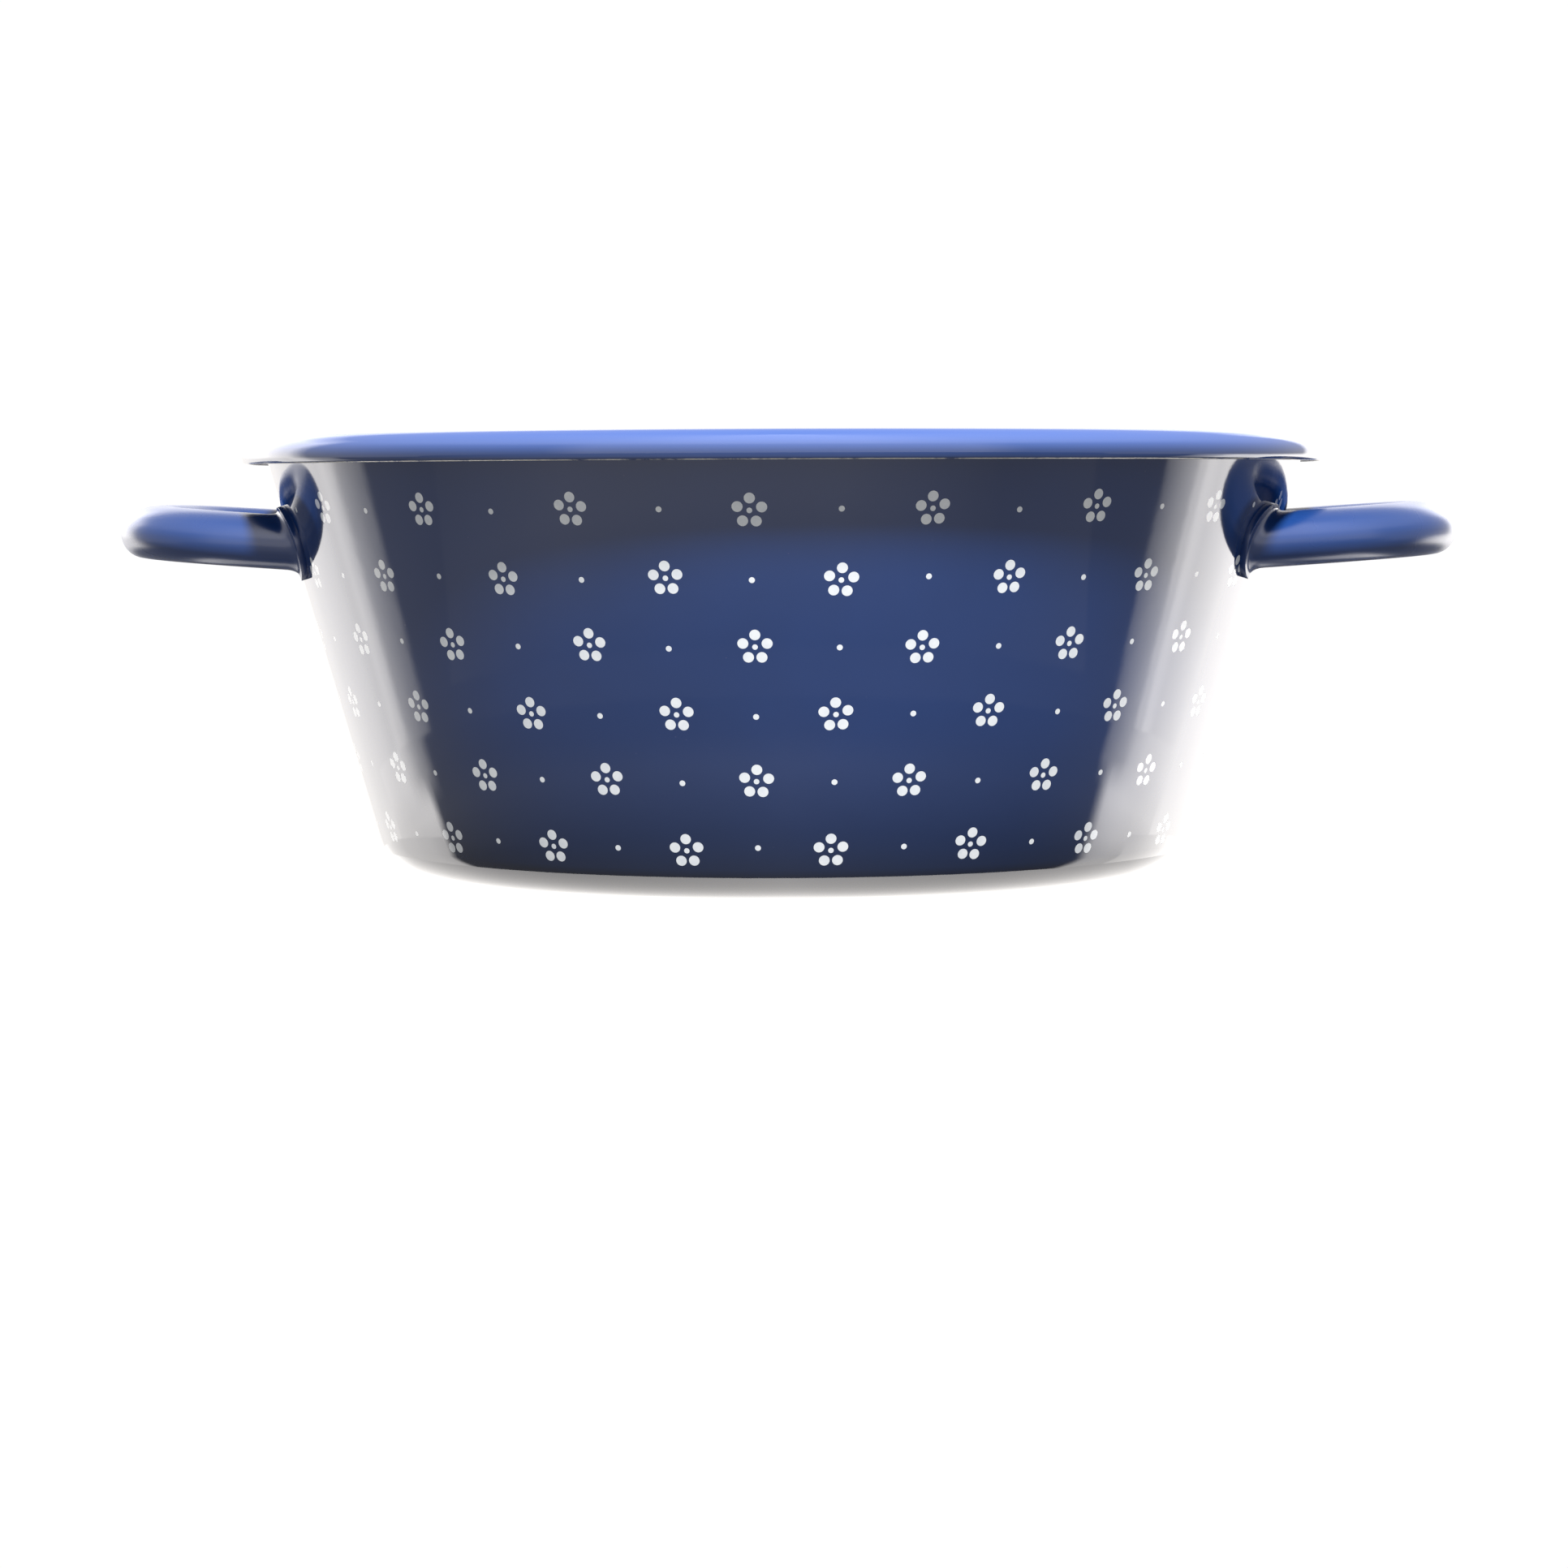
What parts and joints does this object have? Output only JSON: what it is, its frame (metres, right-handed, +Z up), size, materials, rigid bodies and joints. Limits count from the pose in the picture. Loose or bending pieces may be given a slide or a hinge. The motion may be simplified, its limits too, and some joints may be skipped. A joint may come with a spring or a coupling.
{
  "type": "colander",
  "caption": "Flared round enamelled-steel colander with a turned lip, a raised perforated base panel on a standing ring, and loop handles welded under the lip on opposite sides.",
  "frame": {"origin": "centre of the base on the surface that the colander stands on", "axes": "+X through the handles, towards the right-hand one; +Z up through the mouth"},
  "size_m": [0.3232, 0.2622, 0.1048],
  "materials": {
    "bowl_enamel": "glossy blue vitreous enamel on sheet steel",
    "handle_enamel": "glossy blue vitreous enamel on pressed sheet steel",
    "print_white": "white enamel print, fired flush with the blue"
  },
  "bodies": {
    "root": {"bowl": "bowl_enamel", "handle_left": "handle_enamel", "handle_right": "handle_enamel"}
  },
  "joints": []
}
